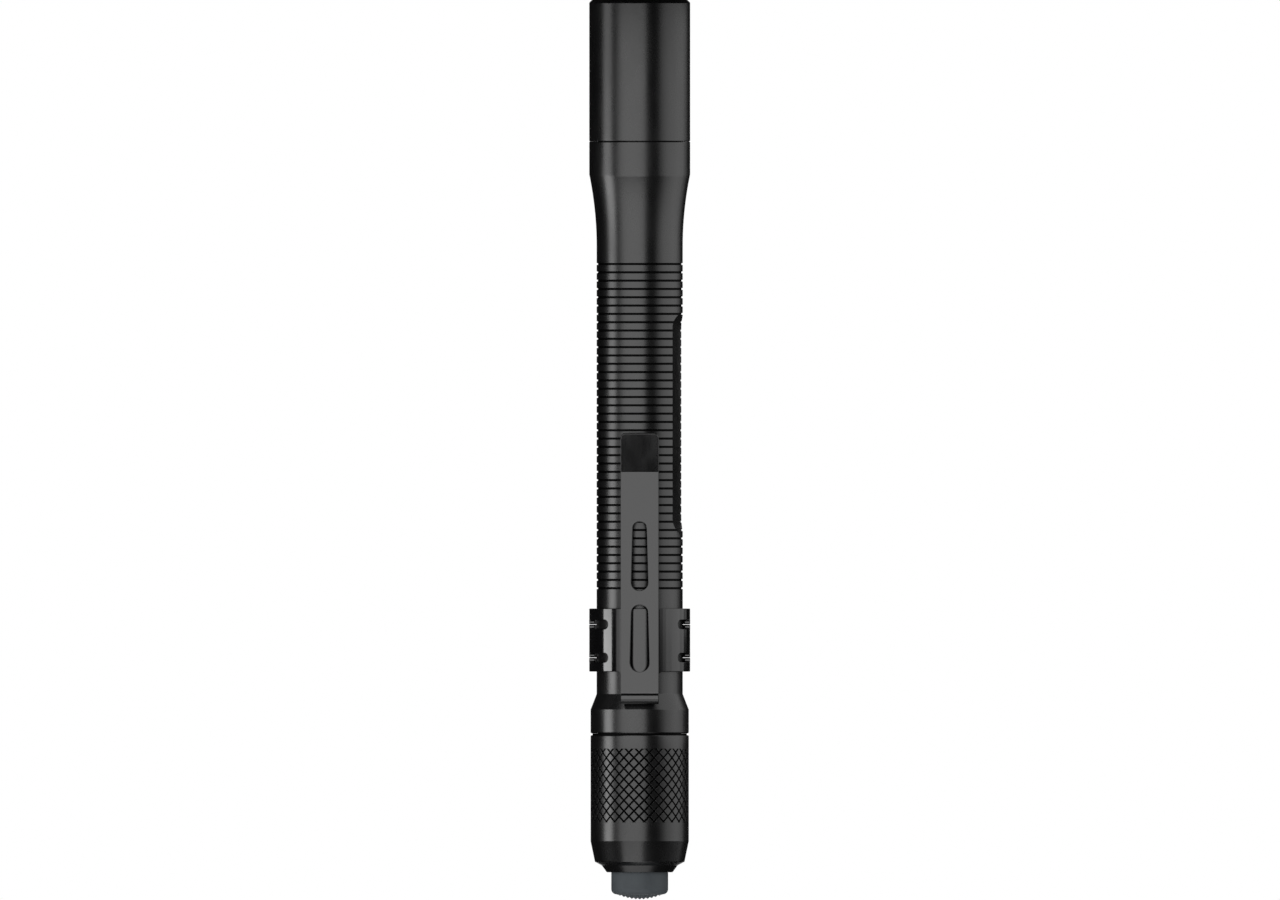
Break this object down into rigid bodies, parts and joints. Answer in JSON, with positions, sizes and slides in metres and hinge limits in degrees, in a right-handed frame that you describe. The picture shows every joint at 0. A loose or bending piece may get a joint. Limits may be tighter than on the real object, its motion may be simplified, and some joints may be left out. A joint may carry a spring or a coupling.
{
  "type": "inspection light",
  "caption": "Slim pen torch with a sliding focus head, grooved black grip, sheet-metal pocket clip, knurled tail cap and rubber push button.",
  "frame": {"origin": "on the plane of the bezel's front face, under the middle of the whole light's outline; the light's own axis is parallel to Z and a little behind it, at +Y", "axes": "+Z along the light from the bezel to the tail button, -Y toward the pocket clip, -X toward the milled flat"},
  "size_m": [0.0154, 0.0174, 0.1371],
  "materials": {
    "black_anodised": "black satin anodised",
    "black_spring_steel": "black satin coated",
    "button_rubber": "matt grey moulded",
    "seal_rubber": "matt black",
    "clear_lens": "clear polished",
    "brass": "turned",
    "bare_aluminium": "turned",
    "led_package": "clear silicone over yellow phosphor",
    "white_board": "white solder mask",
    "green_board": "green solder mask",
    "black_plastic": "moulded",
    "grey_plastic": "moulded",
    "cell_jacket": "plain dark film jacket",
    "plated_contact": "nickel plated"
  },
  "bodies": {
    "focus_head": {"focus_sleeve": "black_anodised", "bezel_gasket": "seal_rubber", "focus_lens": "clear_lens", "lens_retaining_ring": "brass"},
    "barrel": {"barrel_tube": "black_anodised", "nose_oring": "seal_rubber", "tail_oring": "seal_rubber", "led_emitter": "led_package", "led_board": "white_board", "led_heat_sink": "bare_aluminium", "driver_board": "green_board", "contact_insulator": "black_plastic", "positive_contact": "plated_contact", "cell_front_can": "cell_jacket", "cell_front_cap": "plated_contact", "cell_rear_can": "cell_jacket", "cell_rear_cap": "plated_contact", "clip_band": "black_spring_steel"},
    "clip": {"clip_arm": "black_spring_steel"},
    "cap_carriage": {"tail_spring": "plated_contact"},
    "tail_cap": {"tail_cap_shell": "black_anodised", "switch_retaining_ring": "brass", "switch_housing": "grey_plastic", "switch_contact": "brass"},
    "button": {"tail_button": "button_rubber", "switch_plunger": "black_plastic"}
  },
  "joints": [
    {"name": "focus_slide", "type": "slide", "parent": "focus_head", "child": "barrel", "axis": [0, 0, 1], "range_m": [0, 0.004]},
    {"name": "clip_flex", "type": "hinge", "parent": "barrel", "child": "clip", "pos_m": [0, -0.00725, 0.1059], "axis": [-1, 0, 0], "range_deg": [0, 5], "stiffness_Nm_per_rad": 3, "springref_deg": -1.15},
    {"name": "cap_travel", "type": "slide", "parent": "barrel", "child": "cap_carriage", "axis": [0, 0, 1], "range_m": [0, 0.006]},
    {"name": "cap_turn", "type": "hinge", "parent": "cap_carriage", "child": "tail_cap", "pos_m": [0, 0.00108, 0.1122], "axis": [0, 0, 1], "range_deg": [0, 2160]},
    {"name": "button_press", "type": "slide", "parent": "tail_cap", "child": "button", "axis": [0, 0, -1], "range_m": [0, 0.0015], "stiffness_N_per_m": 1500}
  ],
  "couplings": [
    {"joint": "cap_turn", "follows": "cap_travel", "rad_per_m": 6283.2}
  ]
}
